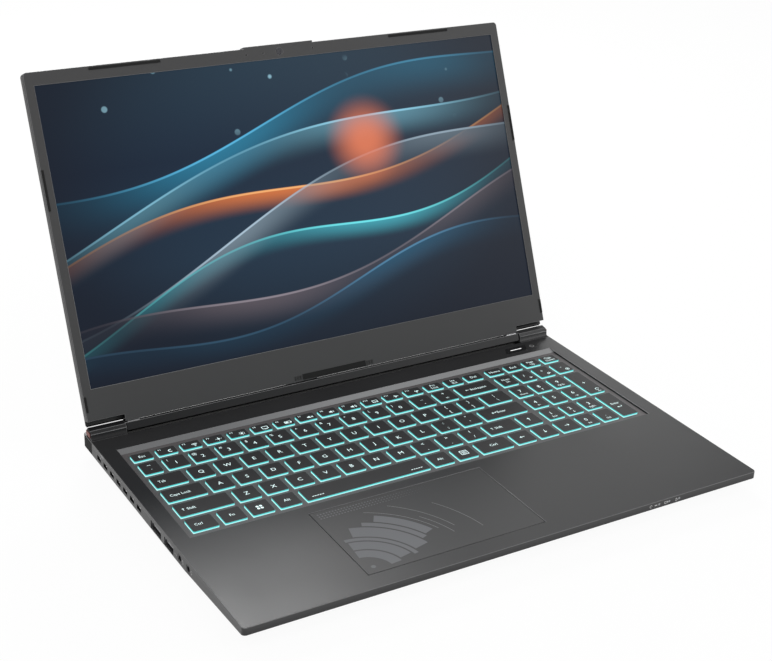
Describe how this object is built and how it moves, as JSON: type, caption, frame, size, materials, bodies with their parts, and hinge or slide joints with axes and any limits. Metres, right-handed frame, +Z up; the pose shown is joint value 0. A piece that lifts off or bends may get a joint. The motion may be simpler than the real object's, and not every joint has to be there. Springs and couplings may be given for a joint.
{
  "type": "laptop computer",
  "caption": "Laptop computer with hinged lid, full keyboard with number pad, touchpad, side ports and vents, cooling fans inside.",
  "frame": {"origin": "on the surface it stands on, under the middle of the base's width and depth", "axes": "+X to the user's right, +Y to the back, +Z up; the lid is stored open at 113 degrees"},
  "size_m": [0.358, 0.3235, 0.2318],
  "materials": {
    "case_plastic": "fine matt moulding with a satin sheen on the deck",
    "lid_plastic": "fine matt moulding",
    "bezel_plastic": "fine matt moulding",
    "rubber": "soft matt",
    "steel": "plain pressed",
    "keycap": "matt with lit legends and lit skirts",
    "frame_plastic": "fine matt moulding",
    "screen": "anti-glare",
    "touch_glass": "satin",
    "circuit": "solder mask",
    "chip": "matt",
    "copper": "satin copper",
    "aluminium": "plain sheet",
    "fan_plastic": "matt",
    "battery_wrap": "matt wrap",
    "accent": "orange-red lacquer",
    "clear_light": "clear light guide",
    "lens": "dark lens"
  },
  "bodies": {
    "base": {"top_case": "case_plastic", "bottom_cover": "case_plastic", "hinge_cover_left": "case_plastic", "hinge_cover_right": "case_plastic", "rubber_feet": "rubber", "dome_sheet": "rubber", "cover_screws": "steel", "hinge_bracket_left": "steel", "hinge_bracket_right": "steel", "keyboard_plate": "steel", "touchpad_bracket": "steel", "usb_ports": "steel", "video_port": "steel", "keyboard_frame": "frame_plastic", "mainboard": "circuit", "memory_modules": "circuit", "solid_state_drive": "circuit", "wireless_card": "circuit", "board_chips": "chip", "heat_pipes": "copper", "heat_spreader": "copper", "fin_stack_left": "aluminium", "fin_stack_right": "aluminium", "fan_housing_left": "fan_plastic", "fan_housing_right": "fan_plastic", "speaker_left": "fan_plastic", "speaker_right": "fan_plastic", "audio_jacks": "fan_plastic", "power_jack": "fan_plastic", "battery_pack": "battery_wrap", "accent_inserts": "accent", "status_lights": "clear_light"},
    "lid": {"lid_cover": "lid_plastic", "display_bezel": "bezel_plastic", "display_panel": "screen", "camera_module": "lens", "bezel_bumpers": "rubber", "hinge_barrel": "case_plastic", "lid_hinge_arm_left": "steel", "lid_hinge_arm_right": "steel", "display_cable": "chip"},
    "escape_key": {"escape_key": "keycap"},
    "function_keys": {"function_keys": "keycap"},
    "navigation_keys": {"navigation_keys": "keycap"},
    "number_row_keys": {"number_row_keys": "keycap"},
    "backspace_key": {"backspace_key": "keycap"},
    "tab_row_keys": {"tab_row_keys": "keycap"},
    "home_row_keys": {"home_row_keys": "keycap"},
    "enter_key": {"enter_key": "keycap"},
    "bottom_letter_keys": {"bottom_letter_keys": "keycap"},
    "shift_keys": {"shift_keys": "keycap"},
    "modifier_keys": {"modifier_keys": "keycap"},
    "space_bar": {"space_bar": "keycap"},
    "arrow_keys": {"arrow_keys": "keycap"},
    "numpad_keys": {"numpad_keys": "keycap"},
    "numpad_tall_keys": {"numpad_tall_keys": "keycap"},
    "touchpad": {"touchpad": "touch_glass"},
    "power_button": {"power_button": "case_plastic"},
    "fan_rotor_left": {"fan_rotor_left": "fan_plastic"},
    "fan_rotor_right": {"fan_rotor_right": "fan_plastic"}
  },
  "joints": [
    {"name": "lid_hinge", "type": "hinge", "parent": "base", "child": "lid", "pos_m": [0, 0.1111, 0.01926], "axis": [-1, 0, 0], "range_deg": [-113.2, 21.8]},
    {"name": "escape_press", "type": "slide", "parent": "base", "child": "escape_key", "axis": [0, 0, 1], "range_m": [-0.0015, 0], "stiffness_N_per_m": 400},
    {"name": "function_press", "type": "slide", "parent": "base", "child": "function_keys", "axis": [0, 0, 1], "range_m": [-0.0015, 0], "stiffness_N_per_m": 6000},
    {"name": "navigation_press", "type": "slide", "parent": "base", "child": "navigation_keys", "axis": [0, 0, 1], "range_m": [-0.0015, 0], "stiffness_N_per_m": 1600},
    {"name": "number_row_press", "type": "slide", "parent": "base", "child": "number_row_keys", "axis": [0, 0, 1], "range_m": [-0.0015, 0], "stiffness_N_per_m": 5200},
    {"name": "backspace_press", "type": "slide", "parent": "base", "child": "backspace_key", "axis": [0, 0, 1], "range_m": [-0.0015, 0], "stiffness_N_per_m": 400},
    {"name": "tab_row_press", "type": "slide", "parent": "base", "child": "tab_row_keys", "axis": [0, 0, 1], "range_m": [-0.0015, 0], "stiffness_N_per_m": 5600},
    {"name": "home_row_press", "type": "slide", "parent": "base", "child": "home_row_keys", "axis": [0, 0, 1], "range_m": [-0.0015, 0], "stiffness_N_per_m": 4800},
    {"name": "enter_press", "type": "slide", "parent": "base", "child": "enter_key", "axis": [0, 0, 1], "range_m": [-0.0015, 0], "stiffness_N_per_m": 400},
    {"name": "bottom_letter_press", "type": "slide", "parent": "base", "child": "bottom_letter_keys", "axis": [0, 0, 1], "range_m": [-0.0015, 0], "stiffness_N_per_m": 4000},
    {"name": "shift_press", "type": "slide", "parent": "base", "child": "shift_keys", "axis": [0, 0, 1], "range_m": [-0.0015, 0], "stiffness_N_per_m": 800},
    {"name": "modifier_press", "type": "slide", "parent": "base", "child": "modifier_keys", "axis": [0, 0, 1], "range_m": [-0.0015, 0], "stiffness_N_per_m": 2800},
    {"name": "space_bar_press", "type": "slide", "parent": "base", "child": "space_bar", "axis": [0, 0, 1], "range_m": [-0.0015, 0], "stiffness_N_per_m": 400},
    {"name": "arrow_press", "type": "slide", "parent": "base", "child": "arrow_keys", "axis": [0, 0, 1], "range_m": [-0.0015, 0], "stiffness_N_per_m": 1600},
    {"name": "numpad_press", "type": "slide", "parent": "base", "child": "numpad_keys", "axis": [0, 0, 1], "range_m": [-0.0015, 0], "stiffness_N_per_m": 6000},
    {"name": "numpad_tall_press", "type": "slide", "parent": "base", "child": "numpad_tall_keys", "axis": [0, 0, 1], "range_m": [-0.0015, 0], "stiffness_N_per_m": 800},
    {"name": "touchpad_click", "type": "hinge", "parent": "base", "child": "touchpad", "pos_m": [-0.036, -0.0357, 0.01465], "axis": [1, 0, 0], "range_deg": [0, 0.4], "stiffness_Nm_per_rad": 15},
    {"name": "power_press", "type": "slide", "parent": "base", "child": "power_button", "axis": [0, 0, 1], "range_m": [-0.0004, 0], "stiffness_N_per_m": 600},
    {"name": "fan_spin_left", "type": "hinge", "parent": "base", "child": "fan_rotor_left", "pos_m": [-0.117, 0.0535, 0.0066], "axis": [0, 0, 1], "continuous": true},
    {"name": "fan_spin_right", "type": "hinge", "parent": "base", "child": "fan_rotor_right", "pos_m": [0.117, 0.0535, 0.0066], "axis": [0, 0, 1], "continuous": true}
  ]
}
